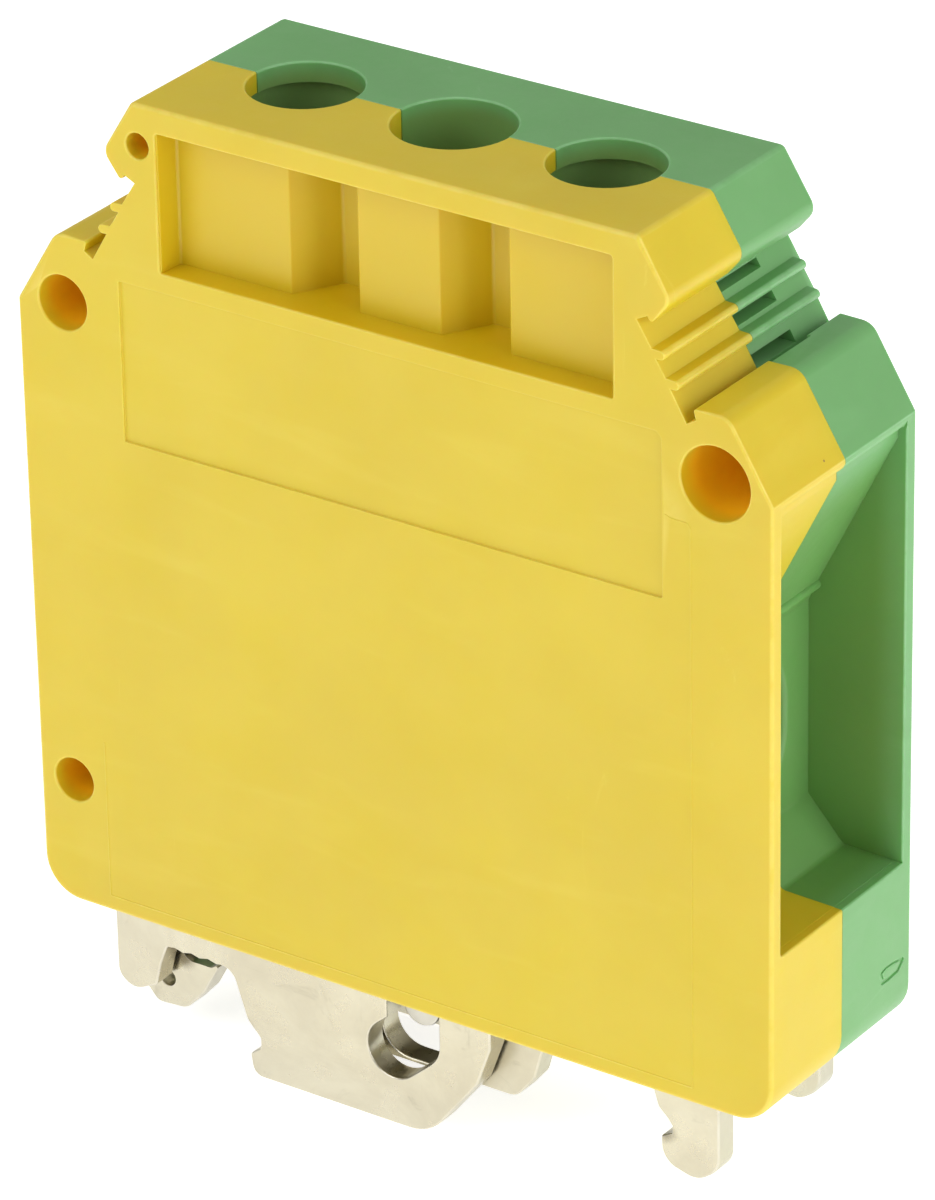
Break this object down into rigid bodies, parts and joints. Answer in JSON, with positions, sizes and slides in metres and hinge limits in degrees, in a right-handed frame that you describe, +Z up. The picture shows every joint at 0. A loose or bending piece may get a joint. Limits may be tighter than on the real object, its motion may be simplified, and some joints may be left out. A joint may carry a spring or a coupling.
{
  "type": "din rail terminal block",
  "caption": "Two-colour earth terminal block that clamps to a 35 mm DIN rail with a screw-driven metal foot and grips one wire at each end in a rising cage clamp.",
  "frame": {"origin": "centre of the rail seat plane, under the middle of the block and in the seam plane between the two halves", "axes": "+X along the block towards the end with the fixed rail hooks, +Y along the rail from the yellow half to the green half, +Z up away from the rail"},
  "size_m": [0.0526, 0.0152, 0.0634],
  "materials": {
    "yellow_shell": "moulded polyamide, satin",
    "green_shell": "moulded polyamide, satin",
    "tinned_copper": "tin plated copper, dull",
    "plated_brass": "nickel plated brass, satin",
    "plated_steel": "zinc plated, satin",
    "nickel_plate": "nickel plated, tumbled satin"
  },
  "bodies": {
    "block": {"housing_front": "yellow_shell", "housing_rear": "green_shell", "current_bar": "tinned_copper", "ground_column": "plated_brass", "catch_plate_front": "nickel_plate", "catch_plate_rear": "nickel_plate", "hook_plate_front": "nickel_plate", "hook_plate_rear": "nickel_plate", "foot_rivet_end_left": "plated_steel", "foot_rivet_mid_left": "plated_steel", "foot_rivet_mid_right": "plated_steel", "foot_rivet_end_right": "plated_steel", "foot_spacer_left": "plated_steel", "foot_spacer_right": "plated_steel"},
    "clamp_screw_left": {"clamp_screw_left": "plated_steel"},
    "clamp_screw_right": {"clamp_screw_right": "plated_steel"},
    "cage_left": {"clamp_cage_left": "plated_steel"},
    "cage_right": {"clamp_cage_right": "plated_steel"},
    "pin": {"cross_pin": "plated_steel"},
    "foot_screw": {"foot_screw": "plated_steel"},
    "jaw": {"jaw_plate_front": "nickel_plate", "jaw_plate_rear": "nickel_plate"}
  },
  "joints": [
    {"name": "cage_rise_left", "type": "slide", "parent": "block", "child": "cage_left", "axis": [0, 0, 1], "range_m": [0, 0.009]},
    {"name": "cage_rise_right", "type": "slide", "parent": "block", "child": "cage_right", "axis": [0, 0, 1], "range_m": [0, 0.009]},
    {"name": "clamp_turn_left", "type": "hinge", "parent": "block", "child": "clamp_screw_left", "pos_m": [-0.01043, 0, 0.0307], "axis": [0, 0, -1], "range_deg": [0, 3240]},
    {"name": "clamp_turn_right", "type": "hinge", "parent": "block", "child": "clamp_screw_right", "pos_m": [0.01043, 0, 0.0307], "axis": [0, 0, -1], "range_deg": [0, 3240]},
    {"name": "pin_drop", "type": "slide", "parent": "block", "child": "pin", "axis": [0, 0, -1], "range_m": [0, 0.00275]},
    {"name": "foot_turn", "type": "hinge", "parent": "pin", "child": "foot_screw", "pos_m": [0, 0, 0.00115], "axis": [0, 0, -1], "range_deg": [0, 990]},
    {"name": "jaw_slide", "type": "slide", "parent": "block", "child": "jaw", "axis": [1, 0, 0], "range_m": [0, 0.0012]}
  ],
  "couplings": [
    {"joint": "clamp_turn_left", "follows": "cage_rise_left", "rad_per_m": 6283.2},
    {"joint": "clamp_turn_right", "follows": "cage_rise_right", "rad_per_m": 6283.2},
    {"joint": "foot_turn", "follows": "pin_drop", "rad_per_m": 6283.2},
    {"joint": "jaw_slide", "follows": "pin_drop", "ratio": 0.43636}
  ]
}
